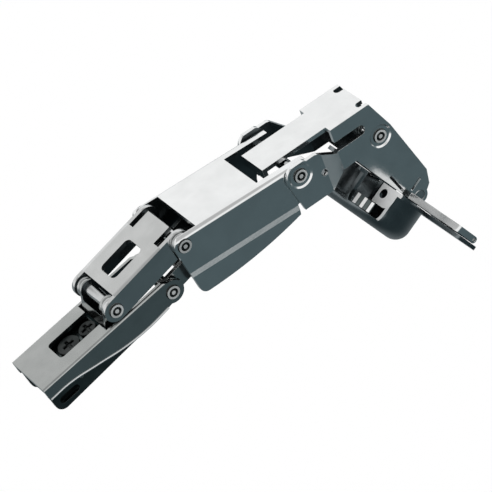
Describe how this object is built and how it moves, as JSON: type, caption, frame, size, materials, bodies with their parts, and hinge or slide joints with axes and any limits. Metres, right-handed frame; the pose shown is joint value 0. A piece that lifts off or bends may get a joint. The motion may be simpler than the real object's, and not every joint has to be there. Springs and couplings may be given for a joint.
{
  "type": "concealed hinge",
  "caption": "Wide-angle concealed cabinet hinge with a clip-on arm, a folding linkage of plated sheet links and a press-in round cup with a clamping flap.",
  "frame": {"origin": "on the clip seat under the arm, in the middle of the carrier's width, where the arm sits on its mounting plate", "axes": "+X along the arm towards the cup, +Z away from the cabinet side, Y along the pivot pins"},
  "size_m": [0.1391, 0.068, 0.0679],
  "materials": {
    "plated_sheet": "bright nickel plate on pressed sheet",
    "cup_steel": "nickel plate on a drawn cup",
    "rivet_steel": "nickel-plated rivet",
    "washer_steel": "plain steel",
    "screw_steel": "nickel-plated screw",
    "spring_wire": "oiled spring wire"
  },
  "bodies": {
    "arm": {"arm_shell": "plated_sheet", "clip_carrier": "plated_sheet", "front_bracket": "plated_sheet", "release_pin": "rivet_steel", "arm_rear_pin": "rivet_steel", "arm_front_pin": "rivet_steel", "arm_rear_washers": "washer_steel", "arm_front_washers": "washer_steel"},
    "rear_link": {"rear_link": "plated_sheet"},
    "inner_lever": {"inner_lever": "plated_sheet"},
    "mid_box": {"mid_box": "plated_sheet", "box_rear_pin": "rivet_steel", "lever_pin": "rivet_steel", "box_front_pin": "rivet_steel", "box_rear_washers": "washer_steel"},
    "front_link": {"front_link": "plated_sheet", "spring_pin": "rivet_steel", "closing_spring": "spring_wire"},
    "cup": {"cup": "cup_steel", "cup_pin": "rivet_steel", "near_flap_pin": "rivet_steel", "far_flap_pin": "rivet_steel"},
    "near_flap": {"near_flap": "plated_sheet"},
    "far_flap": {"far_flap": "plated_sheet"},
    "near_jaw": {"near_jaw": "cup_steel"},
    "far_jaw": {"far_jaw": "cup_steel"},
    "release_lever": {"release_lever": "plated_sheet"},
    "side_screw": {"side_adjust_screw": "screw_steel"},
    "depth_screw": {"depth_adjust_screw": "screw_steel"}
  },
  "joints": [
    {"name": "fold", "type": "hinge", "parent": "arm", "child": "rear_link", "pos_m": [0.011, 0, 0.014], "axis": [0, -1, 0], "range_deg": [0, 118]},
    {"name": "lever_turn", "type": "hinge", "parent": "arm", "child": "inner_lever", "pos_m": [0.0284, 0, 0.0045], "axis": [0, -1, 0], "range_deg": [0, 118]},
    {"name": "box_turn", "type": "hinge", "parent": "rear_link", "child": "mid_box", "pos_m": [0.039, 0, 0.017], "axis": [0, -1, 0], "range_deg": [-118, 0]},
    {"name": "front_turn", "type": "hinge", "parent": "mid_box", "child": "front_link", "pos_m": [0.0807, 0, 0.008], "axis": [0, -1, 0], "range_deg": [0, 52]},
    {"name": "cup_turn", "type": "hinge", "parent": "front_link", "child": "cup", "pos_m": [0.11128, 0, -0.03585], "axis": [0, -1, 0], "range_deg": [0, 111]},
    {"name": "near_flap_lift", "type": "hinge", "parent": "cup", "child": "near_flap", "pos_m": [0.1118, -0.021, -0.04353], "axis": [0, 1, 0], "range_deg": [0, 70]},
    {"name": "far_flap_lift", "type": "hinge", "parent": "cup", "child": "far_flap", "pos_m": [0.1118, 0.021, -0.04353], "axis": [0, 1, 0], "range_deg": [0, 70]},
    {"name": "near_jaw_draw", "type": "slide", "parent": "cup", "child": "near_jaw", "axis": [0.1994, 0.7314, -0.6522], "range_m": [0, 0.0005]},
    {"name": "far_jaw_draw", "type": "slide", "parent": "cup", "child": "far_jaw", "axis": [0.1994, -0.7314, -0.6522], "range_m": [0, 0.0005]},
    {"name": "release_lift", "type": "hinge", "parent": "arm", "child": "release_lever", "pos_m": [-0.009, 0, 0.0028], "axis": [0, 1, 0], "range_deg": [0, 12], "stiffness_Nm_per_rad": 0.01, "springref_deg": -20.05},
    {"name": "side_screw_turn", "type": "hinge", "parent": "arm", "child": "side_screw", "pos_m": [0.0022, 0, 0.006], "axis": [0, 0, 1], "continuous": true},
    {"name": "depth_screw_turn", "type": "hinge", "parent": "arm", "child": "depth_screw", "pos_m": [-0.0054, 0, 0.006], "axis": [0, 0, 1], "continuous": true}
  ],
  "couplings": [
    {"joint": "lever_turn", "follows": "fold", "ratio": 1},
    {"joint": "box_turn", "follows": "fold", "ratio": -1},
    {"joint": "front_turn", "follows": "fold", "ratio": 0.44068},
    {"joint": "cup_turn", "follows": "fold", "ratio": 0.94068},
    {"joint": "near_flap_lift", "follows": "near_jaw_draw", "rad_per_m": 2443.5},
    {"joint": "far_flap_lift", "follows": "far_jaw_draw", "rad_per_m": 2443.5}
  ]
}
